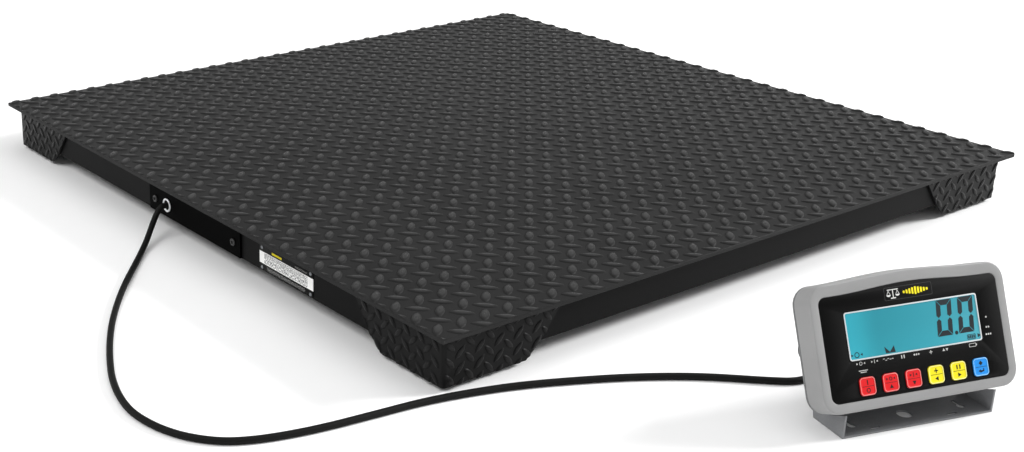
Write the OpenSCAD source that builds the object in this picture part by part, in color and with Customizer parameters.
/* [Platform] */
// Side of the square weighing deck
deck_size = 1200; // [1180:5:1220]
// Thickness of the deck plate, without its raised lugs
deck_t = 6; // [5:0.5:8]
// Height from the floor to the top of the deck
scale_h = 82; // [80:1:90]
// How far the deck stands out past the side rails
rail_overhang = 19; // [15:1:25]
// Lower edge of the side rails, below the top of the deck
rail_drop = 57; // [55:1:62]
// Lower edge of the corner plates, below the top of the deck
plate_drop = 76; // [72:1:76]
// Thickness of the corner plates
plate_t = 4; // [3:0.5:6]
// Length of a corner plate's leg along the deck
plate_top = 185; // [170:5:220]
// Length of a corner plate's leg at its foot
plate_foot = 123; // [110:1:140]
// Extra length of the legs on the left and right sides
plate_extra = 14; // [0:1:25]

/* [Ribs] */
// Number of ribs under the deck
rib_count = 5; // [3:2:5]
// Distance between ribs
rib_pitch = 175; // [170:1:176]
// Width of one rib
rib_w = 50; // [40:1:52]
// Depth of one rib
rib_h = 35; // [30:1:36]

/* [Feet] */
// Distance from the deck's centre lines to each foot
foot_pos = 505; // [500:1:510]
// Diameter of a foot's base
foot_d = 60; // [50:1:64]
// Diameter of the levelling stud
stud_d = 12; // [12:1:12]

/* [Cable side] */
// Length of the cover over the junction box opening
cover_w = 258; // [250:1:270]
// Centre of the cover along the deck's edge
cover_x = 5; // [0:1:10]
// Place of the cable outlet along the deck's edge
outlet_x = -70; // [-75:1:-65]
// Height of the cable outlet, below the top of the deck
outlet_drop = 37; // [35:1:38]
// Diameter of the signal cable
cable_d = 9; // [8:0.5:9]
// Width of the data plate
data_w = 129; // [120:1:140]
// Centre of the data plate along the deck's edge
data_x = 246; // [240:1:260]

/* [Indicator] */
// Width of the indicator's front case
head_w = 270; // [268:1:280]
// Height of the indicator's front case, without the arch of its top edge
head_h = 148; // [146:1:150]
// Rise of the arched top edge
head_rise = 5; // [0:1:6]
// Width of the black front overlay
overlay_w = 246; // [242:1:250]
// Height of the black front overlay
overlay_h = 122; // [120:1:124]
// Width of the display window
window_w = 184; // [180:1:186]
// Height of the display window
window_h = 56; // [52:1:58]
// Side of a key
key_size = 21; // [19:0.5:22]
// Distance between keys
key_pitch = 31.5; // [30:0.5:32]
// How far the indicator leans back, in degrees
head_tilt = 25; // [22:1:27]
// Height of the overlay's centre above the floor
head_z = 101; // [100:1:106]
// Width of the bracket that the indicator stands on
stand_w = 210; // [209:0.5:212]
// Place of the bracket's centre along X
stand_x = 939; // [930:1:950]
// Place of the bracket's centre along Y
stand_y = -175; // [-180:1:-170]
// Heading of the bracket's long side, in degrees from +X
stand_turn = 73; // [70:1:76]

/* [Hidden] */

$fn = 48;

// Small overrun that carries a cut through a face
cut = 1;
floor_z = -scale_h;
half_deck = deck_size / 2;
rail_face = half_deck - rail_overhang;
rail_t = 4;
rail_flange = 40;
rail_inner = rail_face - rail_flange;
plate_face = rail_face + plate_t;
plate_rail = (plate_top * 0.35 + plate_foot * 0.65);

// The four corners as signs of X and Y
FRONT_LEFT = [-1, -1];
FRONT_RIGHT = [1, -1];
REAR_LEFT = [-1, 1];
REAR_RIGHT = [1, 1];
CORNERS = [FRONT_LEFT, FRONT_RIGHT, REAR_LEFT, REAR_RIGHT];

rib_t = 3;

// Load cells: shear beams that hang under blocks welded to the deck
block_h = 10;
cell_top = -deck_t - block_h;
cell_l = 130;
cell_w = 32;
cell_h = 32;
cell_bottom = cell_top - cell_h;
cell_end = 16;
bolt_r = 6;
bolt_at = [76.5, 101.5];
head_bolt_r = 9.5;
head_bolt_h = 8;
run_gap = 0.05;

// Feet
stud_r = stud_d / 2;
ball_r = 8;
ball_z = floor_z + 13;
socket_gap = 0.1;
base_h = 17;
stud_top = -20;
nut_h = 10;
nut_af = 19;

// Junction box under the deck
box_w = 110;
box_l = 70;
box_x = -88;
box_y = -465;
box_top = -deck_t;
box_bottom = -44;
box_wall = 3;
box_lid_t = 3;
box_front = box_y - box_l / 2;
box_back = box_y + box_l / 2;
gland_l = 15;
cell_gland_x = [-128, -101, -75, -48];
cell_gland_z = -26;
out_gland_z = -28;
cell_cable_r = 2.5;
cable_r = cable_d / 2;

// Cover and outlet on the front rail
cover_t = 3;
cover_face = -rail_face - cover_t;
cover_screw_dx = 111;
opening_w = 190;
opening_top = -14;
opening_bottom = -52;
outlet_z = -outlet_drop;
ring_r = 11;
ring_hole_r = 7.5;
ring_proud = 2.5;
data_h = 38;
data_t = 0.8;
data_z = -37;

// Indicator head, drawn with X to its right, Y into its depth and Z up its face.
// Y is 0 at the rim of the front case and the origin is the overlay's centre.
skin = 3;
head_up = 1;
head_r = 22;
seal_at = 29.4;
flange_at = 30;
flange_t = 3;
rear_w = 190;
rear_h = 124;
rear_to = 80;
rear_wall = 2.5;
rear_r = 14;
recess = 1;
overlay_r = 9;
window_up = 12.5;
key_up = -46;
key_first = -74;
key_r = 4.5;
key_gap = 0.35;
key_proud = 0.8;
pivot_in = 46;
pivot_boss_r = 12;
stand_t = 2.5;
stand_d = 54;
stand_hole_r = 9;
keyhole_x = 77;
slot_x = 54;
ear_r = 11.5;
ear_gap = 0.3;
knob_r = 13;
knob_l = 14;
knob_screw_r = 3;
screw_spots = [[-120, -59], [120, -59], [-120, 61], [120, 61], [0, -67.5], [0, 70]];
board_spots = [[-104, -45], [104, -45], [-104, 45], [104, 45]];
gland_u = 55;
gland_len = 18;
socket_u = 85;
socket_v = -38;
battery_u = -30;
battery_v = -24;

// The axis that the head tilts on, in the bracket's own frame
pivot_y = pivot_in * cos(head_tilt);
pivot_z = head_z - pivot_in * sin(head_tilt);

// Middle line of the signal cable from the outlet ring to the indicator's gland
CABLE_ROUTE = [
    [-70, -587, -37], [-70, -590, -37], [-70, -593, -37.2], [-69.6, -599, -41], [-67.6, -606, -48.5],
    [-61.5, -615, -56.5], [-50, -627.5, -64.5], [-33, -644, -71.5], [-12, -664, -76], [14, -687, -77.5], [45, -714, -77.5], [78, -742, -77.5],
    [112, -769, -77.5], [150, -797, -77.5], [190, -824, -77.5], [235, -851, -77.5], [280, -875, -77.5], [325, -896, -77.5],
    [370, -911, -77.5], [412, -918, -77.5], [450, -915, -77.5], [484, -905, -77.5],
    [512, -889, -77.5], [536, -866, -77.5], [553, -835, -77.5], [566, -795, -77.5],
    [576, -748, -77.5], [584, -690, -77.5], [592, -630, -77.5], [604, -575, -77.5],
    [625, -508, -77.5], [655, -440, -77.5], [695, -365, -77.5], [740, -300, -77.5],
    [795, -240, -77.5], [814, -215, -77.5], [819, -190, -77.5], [813, -160, -77.5],
    [808, -134, -74.5], [813, -111, -64], [829, -95, -50], [850, -91, -33], [869, -96, -23]
];
// The same cable inside the platform, from the junction box to the outlet ring
INNER_ROUTE = [
    [-70, -516, -28], [-70, -530, -29], [-70, -545, -32], [-70, -560, -36],
    [-70, -572, -37], [-70, -587, -37]
];
// Load cell cables, from each cell's side to its gland in the junction box
CELL_ROUTES = [
    [[-440, -489, -32], [-440, -470, -33], [-436, -440, -40], [-415, -412, -46], [-380, -395, -47],
     [-300, -388, -47], [-200, -385, -47], [-160, -386, -46], [-138, -392, -38], [-129, -404, -28],
     [-128, -416, -26]],
    [[440, -489, -32], [440, -470, -33], [436, -440, -40], [415, -412, -46], [380, -395, -47],
     [320, -388, -47], [200, -385, -47], [80, -383, -47], [0, -380, -47], [-30, -382, -43],
     [-44, -391, -34], [-48, -404, -27], [-48, -416, -26]],
    [[-440, 489, -32], [-440, 465, -34], [-440, 400, -45], [-440, 200, -46], [-440, -200, -46],
     [-436, -300, -46], [-415, -345, -47], [-380, -362, -47], [-250, -367, -47], [-150, -367, -47],
     [-118, -374, -42], [-104, -388, -32], [-101, -404, -27], [-101, -416, -26]],
    [[440, 489, -32], [440, 465, -34], [440, 400, -45], [440, 200, -46], [440, -200, -46],
     [436, -300, -46], [415, -345, -47], [380, -362, -47], [200, -367, -47], [20, -367, -47],
     [-40, -370, -44], [-66, -382, -35], [-75, -402, -27], [-75, -416, -26]]
];

// ---- Outlines ----

function arc_points(x, y, r, from, to, steps = 6) = [
    for (i = [0:steps]) let (a = from + (to - from) * i / steps) [x + r * cos(a), y + r * sin(a)]
];

function round_outline(w, h, r) = concat(
    arc_points(w / 2 - r, -h / 2 + r, r, -90, 0),
    arc_points(w / 2 - r, h / 2 - r, r, 0, 90),
    arc_points(-w / 2 + r, h / 2 - r, r, 90, 180),
    arc_points(-w / 2 + r, -h / 2 + r, r, 180, 270)
);

// Height of the arch over the middle of a case that is w wide
function arch(x, w, rise) = abs(x) < 0.42 * w ? rise * (0.5 + 0.5 * cos(180 * x / (0.42 * w))) : 0;

function arched_outline(w, h, r, rise, steps = 16) = concat(
    arc_points(w / 2 - r, -h / 2 + r, r, -90, 0),
    arc_points(w / 2 - r, h / 2 - r, r, 0, 90),
    [for (i = [1:steps - 1]) let (x = (w / 2 - r) * (1 - 2 * i / steps)) [x, h / 2 + arch(x, w, rise)]],
    arc_points(-w / 2 + r, h / 2 - r, r, 90, 180),
    arc_points(-w / 2 + r, -h / 2 + r, r, 180, 270)
);

// ---- Swept cables ----

function blend_point(p, i, t) =
    let (
        a = p[max(i - 1, 0)],
        b = p[i],
        c = p[i + 1],
        d = p[min(i + 2, len(p) - 1)]
    )
    0.5 * (2 * b + (c - a) * t + (2 * a - 5 * b + 4 * c - d) * t * t + (3 * b - a - 3 * c + d) * t * t * t);

function smooth_line(p, steps) = concat(
    [for (i = [0:len(p) - 2]) for (s = [0:steps - 1]) blend_point(p, i, s / steps)],
    [p[len(p) - 1]]
);

function unit(v) = v / norm(v);

function heading(p, i) = unit(p[min(i + 1, len(p) - 1)] - p[max(i - 1, 0)]);

module cable_along(points, r, sides = 10) {
    rings = len(points);
    verts = [
        for (i = [0:rings - 1])
            let (t = heading(points, i), side = unit(cross(t, [0, 0, 1])), up = cross(side, t))
            for (k = [0:sides - 1])
                let (a = 360 * (k + 0.5) / sides)
                points[i] + r * (side * cos(a) + up * sin(a))
    ];
    walls = [
        for (i = [0:rings - 2]) for (k = [0:sides - 1])
            let (n = (k + 1) % sides)
            [i * sides + k, i * sides + n, (i + 1) * sides + n, (i + 1) * sides + k]
    ];
    near_end = [for (k = [0:sides - 1]) sides - 1 - k];
    far_end = [for (k = [0:sides - 1]) (rings - 1) * sides + k];
    polyhedron(verts, concat([near_end], walls, [far_end]), convexity = 10);
}

// ---- Small shared shapes ----

// A plate whose outline lies in X and Z and whose thickness runs along Y
module slab(outline, from, to) {
    translate([0, to, 0])
        rotate([90, 0, 0])
            linear_extrude(to - from)
                polygon(outline);
}

// A round bar along Y
module bar_y(r, from, to) {
    translate([0, from, 0])
        rotate([-90, 0, 0])
            cylinder(r = r, h = to - from);
}

// A round bar along X
module bar_x(r, from, to) {
    translate([from, 0, 0])
        rotate([0, 90, 0])
            cylinder(r = r, h = to - from);
}

module hexagon(across_flats, h) {
    cylinder(d = across_flats / cos(30), h = h, $fn = 6);
}

module at_corner(c) {
    translate([c[0] * foot_pos, c[1] * foot_pos, 0])
        mirror([c[0] < 0 ? 1 : 0, 0, 0])
            mirror([0, c[1] < 0 ? 1 : 0, 0])
                children();
}

module in_stand() {
    translate([stand_x, stand_y, floor_z])
        rotate([0, 0, stand_turn])
            children();
}

module in_head() {
    in_stand()
        translate([0, 0, head_z])
            rotate([-head_tilt, 0, 0])
                children();
}

// ---- Platform ----

module deck_plate() {
    color("#3f3f3f")
        translate([-half_deck, -half_deck, -deck_t])
            cube([deck_size, deck_size, deck_t]);
}

module rib_section() {
    polygon([
        [-rib_w / 2, 0], [-rib_w / 2, -rib_h], [rib_w / 2, -rib_h], [rib_w / 2, 0],
        [rib_w / 2 - rib_t, 0], [rib_w / 2 - rib_t, -rib_h + rib_t],
        [-rib_w / 2 + rib_t, -rib_h + rib_t], [-rib_w / 2 + rib_t, 0]
    ]);
}

module deck_ribs() {
    color("#1c1c1c")
        for (i = [0:rib_count - 1])
            translate([(i - (rib_count - 1) / 2) * rib_pitch, rail_inner, -deck_t])
                rotate([90, 0, 0])
                    linear_extrude(2 * rail_inner)
                        rib_section();
}

// A channel whose web faces -Y, from the section's corner outwards
module rail_channel(length) {
    web = rail_drop - deck_t;
    rotate([90, 0, 90])
        translate([0, 0, -length / 2])
            linear_extrude(length)
                polygon([
                    [0, 0], [rail_flange, 0], [rail_flange, -rail_t], [rail_t, -rail_t],
                    [rail_t, rail_t - web], [rail_flange, rail_t - web], [rail_flange, -web], [0, -web]
                ]);
}

module front_rail() {
    color("#171717")
        difference() {
            translate([0, -rail_face, -deck_t])
                rail_channel(2 * rail_face);
            translate([cover_x - opening_w / 2, -rail_face - cut, opening_bottom])
                cube([opening_w, rail_t + 2 * cut, opening_top - opening_bottom]);
            for (s = [-1, 1])
                translate([cover_x + s * cover_screw_dx, 0, outlet_z])
                    bar_y(2.5 + run_gap, -rail_face - cut, -rail_face + rail_t + cut);
        }
}

module rear_rail() {
    color("#171717")
        rotate([0, 0, 180])
            translate([0, -rail_face, -deck_t])
                rail_channel(2 * rail_face);
}

module side_rail(turn) {
    color("#171717")
        rotate([0, 0, turn])
            translate([0, -rail_face, -deck_t])
                rail_channel(2 * rail_inner);
}

module left_rail() {
    side_rail(-90);
}

module right_rail() {
    side_rail(90);
}

// One leg of a corner plate, with its outline in X and Z and its outer end at +X
module plate_leg(extra) {
    slab([
        [plate_face, -deck_t], [plate_face, -plate_drop], [plate_face - plate_foot - extra, -plate_drop],
        [plate_face - plate_rail - extra, -rail_drop], [plate_face - plate_top - extra, -deck_t]
    ], -plate_face, -rail_face);
}

module corner_plate(c) {
    color("#262626")
        mirror([c[0] < 0 ? 1 : 0, 0, 0])
            mirror([0, c[1] > 0 ? 1 : 0, 0])
                union() {
                    plate_leg(0);
                    mirror([1, 1, 0])
                        plate_leg(plate_extra);
                }
}

module corner_plate_front_left() {
    corner_plate(FRONT_LEFT);
}

module corner_plate_front_right() {
    corner_plate(FRONT_RIGHT);
}

module corner_plate_rear_left() {
    corner_plate(REAR_LEFT);
}

module corner_plate_rear_right() {
    corner_plate(REAR_RIGHT);
}

// ---- Load cells and feet ----

module cell_mount_blocks() {
    color("#202020")
        for (c = CORNERS)
            at_corner(c)
                difference() {
                    translate([-116, -20, -deck_t - block_h])
                        cube([54, 40, block_h]);
                    for (x = bolt_at)
                        translate([-x, 0, -deck_t - block_h - cut])
                            cylinder(r = bolt_r + run_gap, h = block_h - 1);
                }
}

module load_cell(c) {
    color("#b9bcc0")
        at_corner(c)
            difference() {
                translate([cell_end - cell_l, -cell_w / 2, cell_bottom])
                    cube([cell_l, cell_w, cell_h]);
                translate([0, 0, cell_bottom - cut])
                    cylinder(r = stud_r + run_gap, h = cell_h + 2 * cut);
                for (x = bolt_at)
                    translate([-x, 0, cell_bottom - cut])
                        cylinder(r = bolt_r + 0.5, h = cell_h + 2 * cut);
                for (s = [-1, 1])
                    translate([-40, s * (cell_w / 2 - 5), cell_bottom + cell_h / 2])
                        bar_y(11, s > 0 ? 0 : -6, s > 0 ? 6 : 0);
            }
}

module load_cell_front_left() {
    load_cell(FRONT_LEFT);
}

module load_cell_front_right() {
    load_cell(FRONT_RIGHT);
}

module load_cell_rear_left() {
    load_cell(REAR_LEFT);
}

module load_cell_rear_right() {
    load_cell(REAR_RIGHT);
}

module cell_bolts() {
    color("#8f9296")
        for (c = CORNERS)
            at_corner(c)
                for (x = bolt_at)
                    translate([-x, 0, 0]) {
                        translate([0, 0, cell_bottom - head_bolt_h])
                            cylinder(r = head_bolt_r, h = head_bolt_h, $fn = 6);
                        translate([0, 0, cell_bottom - cut])
                            cylinder(r = bolt_r, h = cell_h + block_h - 2 + cut);
                    }
}

module lock_nuts() {
    color("#a9acb0")
        for (c = CORNERS)
            at_corner(c)
                translate([0, 0, cell_bottom - nut_h])
                    difference() {
                        hexagon(nut_af, nut_h);
                        translate([0, 0, -cut])
                            cylinder(r = stud_r + run_gap, h = nut_h + 2 * cut);
                    }
}

module foot_stud(c) {
    color("#a9acb0")
        at_corner(c)
            union() {
                translate([0, 0, ball_z])
                    sphere(r = ball_r);
                translate([0, 0, ball_z])
                    cylinder(r = stud_r, h = stud_top - ball_z);
            }
}

module foot_stud_front_left() {
    foot_stud(FRONT_LEFT);
}

module foot_stud_front_right() {
    foot_stud(FRONT_RIGHT);
}

module foot_stud_rear_left() {
    foot_stud(REAR_LEFT);
}

module foot_stud_rear_right() {
    foot_stud(REAR_RIGHT);
}

module foot_base(c) {
    color("#2a2a2a")
        at_corner(c)
            difference() {
                translate([0, 0, floor_z])
                    rotate_extrude()
                        polygon([
                            [0, 0], [foot_d / 2 - 1.5, 0], [foot_d / 2, 1.5], [foot_d / 2, 6],
                            [foot_d / 2 - 2, 8], [14, 9.5], [11.5, base_h], [0, base_h]
                        ]);
                translate([0, 0, ball_z])
                    sphere(r = ball_r + socket_gap);
                translate([0, 0, ball_z])
                    cylinder(r1 = 6.6, r2 = 8.5, h = 6);
            }
}

module foot_base_front_left() {
    foot_base(FRONT_LEFT);
}

module foot_base_front_right() {
    foot_base(FRONT_RIGHT);
}

module foot_base_rear_left() {
    foot_base(REAR_LEFT);
}

module foot_base_rear_right() {
    foot_base(REAR_RIGHT);
}

// ---- Junction box ----

module box_corners(z) {
    for (sx = [-1, 1]) for (sy = [-1, 1])
        translate([box_x + sx * (box_w / 2 - 6), box_y + sy * (box_l / 2 - 6), z])
            children();
}

module junction_box() {
    boss_r = 4;
    color("#9fa3a8")
        difference() {
            union() {
                difference() {
                    translate([box_x - box_w / 2, box_front, box_bottom])
                        cube([box_w, box_l, box_top - box_bottom]);
                    translate([box_x - box_w / 2 + box_wall, box_front + box_wall, box_bottom - cut])
                        cube([box_w - 2 * box_wall, box_l - 2 * box_wall, box_top - box_bottom - box_wall + cut]);
                }
                box_corners(box_bottom)
                    cylinder(r = boss_r, h = box_top - box_bottom - 1);
                for (sx = [-1, 1]) for (sy = [-1, 1])
                    translate([box_x + sx * 34, box_y + sy * 16, -14])
                        cylinder(r = 3, h = 6);
            }
            box_corners(box_bottom - cut)
                cylinder(r = 1.5 + run_gap, h = 14);
            for (x = cell_gland_x)
                translate([x, 0, cell_gland_z])
                    bar_y(5 + run_gap, box_back - box_wall - cut, box_back + cut);
            translate([outlet_x, 0, out_gland_z])
                bar_y(8 + run_gap, box_front - cut, box_front + box_wall + cut);
        }
}

module junction_lid() {
    color("#8e9297")
        difference() {
            translate([box_x - box_w / 2, box_front, box_bottom - box_lid_t])
                cube([box_w, box_l, box_lid_t]);
            box_corners(box_bottom - box_lid_t - cut)
                cylinder(r = 1.8, h = box_lid_t + 2 * cut);
        }
}

module junction_board() {
    color("#1f6b3a")
        union() {
            translate([box_x - 45, box_y - 22, -15.6])
                cube([90, 44, 1.6]);
            for (i = [0:4])
                translate([box_x - 40 + i * 17, box_y - 19, -24.6])
                    cube([13, 9, 9]);
        }
}

module gland_along_y(thread_r, hole_r, back) {
    difference() {
        union() {
            bar_y(thread_r, -box_wall - 4, 0);
            rotate([-90, 0, 0])
                cylinder(r = thread_r + 2.5, h = 5, $fn = 6);
            bar_y(thread_r + 1, 5, back);
        }
        bar_y(hole_r, -box_wall - 5, back + cut);
    }
}

module junction_glands() {
    color("#2b2b2b") {
        for (x = cell_gland_x)
            translate([x, box_back, cell_gland_z])
                gland_along_y(5, cell_cable_r + 0.1, gland_l);
        translate([outlet_x, box_front, out_gland_z])
            rotate([0, 0, 180])
                gland_along_y(8, cable_r + 0.1, gland_l);
    }
}

module junction_screws() {
    color("#a9acb0")
        box_corners(box_bottom - box_lid_t) {
            translate([0, 0, -2.5])
                cylinder(r = 3, h = 2.5);
            translate([0, 0, -0.5])
                cylinder(r = 1.5, h = 13);
        }
}

module cell_cables() {
    color("#191919")
        for (route = CELL_ROUTES)
            cable_along(smooth_line(route, 3), cell_cable_r, 8);
}

// ---- Cable side ----

module access_cover() {
    color("#0d0d0d")
        difference() {
            translate([cover_x - cover_w / 2, cover_face, -rail_drop])
                cube([cover_w, cover_t, rail_drop - deck_t - 1]);
            for (s = [-1, 1])
                translate([cover_x + s * cover_screw_dx, 0, outlet_z])
                    bar_y(2.75, cover_face - cut, -rail_face + cut);
            translate([outlet_x, 0, outlet_z])
                bar_y(9 + run_gap, cover_face - cut, -rail_face + cut);
        }
}

module cover_screws() {
    color("#1d1d1d")
        for (s = [-1, 1])
            translate([cover_x + s * cover_screw_dx, 0, outlet_z])
                difference() {
                    union() {
                        bar_y(5.5, cover_face - 2.5, cover_face);
                        bar_y(2.5, cover_face - 1, -rail_face + 9);
                    }
                    bar_y(2, cover_face - 3, cover_face - 1.2, $fn = 6);
                }
}

module outlet_ring() {
    color("#d5d7da")
        translate([outlet_x, 0, outlet_z])
            difference() {
                union() {
                    bar_y(ring_r, cover_face - ring_proud, cover_face);
                    bar_y(9, cover_face - 1, -rail_face + 4);
                }
                bar_y(ring_hole_r, cover_face - ring_proud - cut, -rail_face + 5);
            }
}

module outlet_bush() {
    color("#161616")
        translate([outlet_x, 0, outlet_z])
            difference() {
                bar_y(ring_hole_r - run_gap, cover_face - 1.5, -rail_face + 4);
                bar_y(cable_r + 0.1, cover_face - 2.5, -rail_face + 5);
            }
}

module data_plate() {
    color("#e9e9e6")
        difference() {
            translate([data_x - data_w / 2, -rail_face - data_t, data_z - data_h / 2])
                cube([data_w, data_t, data_h]);
            data_corners()
                bar_y(1.5 + run_gap, -rail_face - data_t - cut, -rail_face + cut);
        }
}

module data_corners() {
    for (sx = [-1, 1]) for (sz = [-1, 1])
        translate([data_x + sx * (data_w / 2 - 6), 0, data_z + sz * (data_h / 2 - 4)])
            children();
}

module plate_rivets() {
    color("#c9cbce")
        data_corners()
            union() {
                bar_y(2.6, -rail_face - data_t - 1, -rail_face - data_t);
                bar_y(1.5, -rail_face - data_t - 0.5, -rail_face);
            }
}

module inner_cable() {
    color("#1a1a1a")
        cable_along(smooth_line(INNER_ROUTE, 2), cable_r);
}

module signal_cable() {
    color("#1a1a1a")
        cable_along(smooth_line(CABLE_ROUTE, 2), cable_r);
}

// ---- Indicator stand ----

module stand_base() {
    linear_extrude(stand_t)
        difference() {
            square([stand_w, stand_d], center = true);
            translate([0, -2])
                circle(r = stand_hole_r);
            for (s = [-1, 1]) {
                translate([s * keyhole_x, -6])
                    circle(r = 5);
                translate([s * keyhole_x, 2])
                    square([5, 14], center = true);
                translate([s * slot_x, -18])
                    square([14, 4], center = true);
            }
        }
}

// An ear with its outline in Y and Z and its thickness along +X
module stand_ear() {
    rotate([90, 0, 90])
        linear_extrude(stand_t)
            difference() {
                polygon(concat(
                    [[stand_d / 2, 0]],
                    arc_points(pivot_y, pivot_z, ear_r, -20, 180, 16),
                    [[-0.5, 18], [-stand_d / 2, 30], [-stand_d / 2, 0]]
                ));
                translate([pivot_y, pivot_z])
                    circle(r = knob_screw_r + run_gap);
            }
}

module stand_bracket() {
    color("#6a6c6f")
        in_stand()
            union() {
                stand_base();
                translate([stand_w / 2 - stand_t, 0, 0])
                    stand_ear();
                translate([-stand_w / 2, 0, 0])
                    stand_ear();
            }
}

module knob(side) {
    in_head()
        translate([0, pivot_in, 0])
            mirror([side < 0 ? 1 : 0, 0, 0])
                difference() {
                    union() {
                        bar_x(knob_r, stand_w / 2 + ear_gap, stand_w / 2 + ear_gap + knob_l);
                        bar_x(knob_screw_r, stand_w / 2 - 17, stand_w / 2 + 1);
                    }
                    for (a = [0:45:315])
                        rotate([a, 0, 0])
                            translate([0, 0, knob_r + 1.2])
                                bar_x(3, stand_w / 2 + 3, stand_w / 2 + knob_l + 2);
                }
}

module knob_left() {
    color("#1b1b1b")
        knob(-1);
}

module knob_right() {
    color("#1b1b1b")
        knob(1);
}

// ---- Indicator head ----

function key_x(i) = key_first + i * key_pitch;

module key_holes(from, to) {
    for (i = [0:5])
        translate([key_x(i), 0, key_up])
            slab(round_outline(key_size + 2 * key_gap, key_size + 2 * key_gap, key_r), from, to);
}

module window_hole(from, to, gap) {
    translate([0, 0, window_up])
        slab(round_outline(window_w + 2 * gap, window_h + 2 * gap, 3), from, to);
}

module front_case() {
    color("#a2a3a3")
        in_head()
            difference() {
                union() {
                    difference() {
                        translate([0, 0, head_up])
                            slab(arched_outline(head_w, head_h, head_r, head_rise), 0, seal_at);
                        translate([0, 0, head_up])
                            slab(arched_outline(head_w - 2 * skin, head_h - 2 * skin, head_r - skin, head_rise),
                                skin, seal_at + cut);
                    }
                    for (p = screw_spots)
                        translate([p[0], 0, p[1]])
                            bar_y(4, skin - 0.5, seal_at);
                    for (p = board_spots)
                        translate([p[0], 0, p[1]])
                            bar_y(4, skin - 0.5, 22);
                }
                slab(arched_outline(overlay_w, overlay_h, overlay_r, head_rise), -cut, recess);
                window_hole(-cut, skin + cut, 0);
                key_holes(-cut, skin + cut);
                for (p = screw_spots)
                    translate([p[0], 0, p[1]])
                        bar_y(1.5 + run_gap, 14, seal_at + cut);
                for (p = board_spots)
                    translate([p[0], 0, p[1]])
                        bar_y(1.25 + run_gap, 12, 22 + cut);
            }
}

module case_seal() {
    color("#1c1c1c")
        in_head()
            difference() {
                translate([0, 0, head_up])
                    slab(arched_outline(head_w - 1, head_h - 1, head_r - 0.5, head_rise), seal_at, flange_at);
                translate([0, 0, head_up])
                    slab(arched_outline(head_w - 5, head_h - 5, head_r - 2.5, head_rise),
                        seal_at - cut, flange_at + cut);
            }
}

module rear_case() {
    color("#8b8c8d")
        in_head()
            difference() {
                union() {
                    translate([0, 0, head_up])
                        slab(arched_outline(head_w, head_h, head_r, head_rise), flange_at, flange_at + flange_t);
                    slab(round_outline(rear_w, rear_h, rear_r), flange_at, rear_to);
                    translate([0, pivot_in, 0])
                        bar_x(pivot_boss_r, -stand_w / 2 + stand_t + ear_gap, stand_w / 2 - stand_t - ear_gap);
                }
                difference() {
                    slab(round_outline(rear_w - 2 * rear_wall, rear_h - 2 * rear_wall, rear_r - rear_wall),
                        flange_at - cut, rear_to - rear_wall);
                    for (s = [-1, 1])
                        translate([s * (rear_w / 2 - 8), pivot_in, 0])
                            bar_x(pivot_boss_r - 4, -7, 7);
                }
                translate([0, pivot_in, 0])
                    for (s = [-1, 1])
                        bar_x(knob_screw_r + run_gap, s > 0 ? stand_w / 2 - 18 : -stand_w / 2 - cut,
                            s > 0 ? stand_w / 2 + cut : -stand_w / 2 + 18);
                for (p = screw_spots)
                    translate([p[0], 0, p[1]])
                        bar_y(1.75, flange_at - cut, flange_at + flange_t + cut);
                translate([gland_u, 0, 0])
                    bar_y(7 + run_gap, rear_to - rear_wall - cut, rear_to + cut);
                translate([socket_u, 0, socket_v])
                    bar_y(5 + run_gap, rear_to - rear_wall - cut, rear_to + cut);
            }
}

module case_screws() {
    color("#a9acb0")
        in_head()
            for (p = screw_spots)
                translate([p[0], 0, p[1]])
                    union() {
                        bar_y(3, flange_at + flange_t, flange_at + flange_t + 2.4);
                        bar_y(1.5, 16, flange_at + flange_t + 0.5);
                    }
}

module front_overlay() {
    color("#121212")
        in_head()
            difference() {
                slab(arched_outline(overlay_w - 0.4, overlay_h - 0.4, overlay_r, head_rise), 0.2, recess);
                window_hole(-cut, recess + cut, 0);
                key_holes(-cut, recess + cut);
            }
}

module display_window() {
    color("#4fb4c6")
        in_head()
            window_hole(0.3, skin, -0.1);
}

module display_module() {
    color("#c8cdd0")
        in_head()
            translate([0, 0, window_up])
                slab(round_outline(window_w + 8, window_h + 8, 2), skin, 12);
}

module display_board() {
    color("#1f6b3a")
        in_head()
            union() {
                translate([0, 0, -6])
                    slab(round_outline(196, 108, 2), 12, 13.6);
                for (i = [0:5])
                    translate([key_x(i), 0, key_up]) {
                        slab(round_outline(12, 12, 1), 8.5, 12.1);
                        bar_y(3, 5.7, 8.6);
                    }
            }
}

module main_board() {
    color("#1f6b3a")
        in_head() {
            difference() {
                slab(round_outline(216, 100, 2), 22, 23.6);
                for (p = board_spots)
                    translate([p[0], 0, p[1]])
                        bar_y(1.5, 21, 24.6);
            }
            for (x = [-60, -10, 50])
                translate([x, 0, 20])
                    slab(round_outline(22, 22, 1), 23.6, 26);
            for (p = board_spots)
                translate([p[0], 0, p[1]])
                    union() {
                        bar_y(2.5, 23.6, 25.4);
                        bar_y(1.25, 14, 24);
                    }
        }
}

module battery() {
    color("#2d2f33")
        in_head()
            union() {
                translate([battery_u, 0, battery_v])
                    slab(round_outline(100, 68, 2), 34, 76);
                for (s = [-1, 1])
                    translate([battery_u + s * 38, 0, 12])
                        slab(round_outline(6, 6, 0.5), 40, 41);
            }
}

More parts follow.
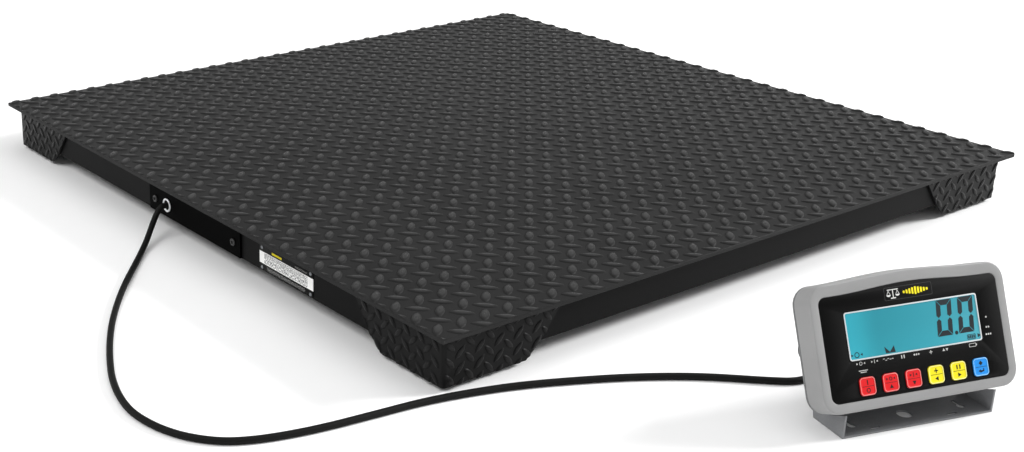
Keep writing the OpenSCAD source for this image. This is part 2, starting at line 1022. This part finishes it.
module cable_gland() {
    color("#1f1f1f")
        in_head()
            translate([gland_u, 0, 0])
                difference() {
                    union() {
                        bar_y(7, rear_to - rear_wall - 5, rear_to);
                        translate([0, rear_to - rear_wall - 4.5, 0])
                            rotate([-90, 0, 0])
                                cylinder(r = 10, h = 4.5, $fn = 6);
                        translate([0, rear_to, 0])
                            rotate([-90, 0, 0])
                                cylinder(r = 10, h = 5, $fn = 6);
                        translate([0, rear_to + 5, 0])
                            rotate([-90, 0, 0])
                                cylinder(r1 = 9, r2 = 6.4, h = gland_len - 5);
                    }
                    bar_y(cable_r + 0.1, rear_to - 12, rear_to + gland_len + cut);
                }
}

module power_socket() {
    color("#262626")
        in_head()
            translate([socket_u, 0, socket_v])
                difference() {
                    union() {
                        bar_y(5, rear_to - rear_wall - 12, rear_to + 1.5);
                        bar_y(6.5, rear_to, rear_to + 1.5);
                    }
                    bar_y(3, rear_to - 10, rear_to + 2.5);
                }
}

module key_cap(i, tint) {
    color(tint)
        in_head()
            translate([key_x(i), 0, key_up])
                union() {
                    slab(round_outline(key_size, key_size, key_r), -key_proud, 3.4);
                    slab(round_outline(key_size + 3, key_size + 3, key_r), 3.3, 4.5);
                }
}

module key_power() {
    key_cap(0, "#d81f26");
}

module key_zero() {
    key_cap(1, "#d81f26");
}

module key_tare() {
    key_cap(2, "#d81f26");
}

module key_memory() {
    key_cap(3, "#f2e01c");
}

module key_hold() {
    key_cap(4, "#f2e01c");
}

module key_enter() {
    key_cap(5, "#1f8fe0");
}

deck_plate();
deck_ribs();
front_rail();
rear_rail();
left_rail();
right_rail();
corner_plate_front_left();
corner_plate_front_right();
corner_plate_rear_left();
corner_plate_rear_right();
cell_mount_blocks();
load_cell_front_left();
load_cell_front_right();
load_cell_rear_left();
load_cell_rear_right();
cell_bolts();
lock_nuts();
foot_stud_front_left();
foot_stud_front_right();
foot_stud_rear_left();
foot_stud_rear_right();
foot_base_front_left();
foot_base_front_right();
foot_base_rear_left();
foot_base_rear_right();
junction_box();
junction_lid();
junction_board();
junction_glands();
junction_screws();
cell_cables();
access_cover();
cover_screws();
outlet_ring();
outlet_bush();
data_plate();
plate_rivets();
inner_cable();
signal_cable();
stand_bracket();
front_case();
rear_case();
case_seal();
case_screws();
front_overlay();
display_window();
display_module();
display_board();
main_board();
battery();
cable_gland();
power_socket();
key_power();
key_zero();
key_tare();
key_memory();
key_hold();
key_enter();
knob_left();
knob_right();
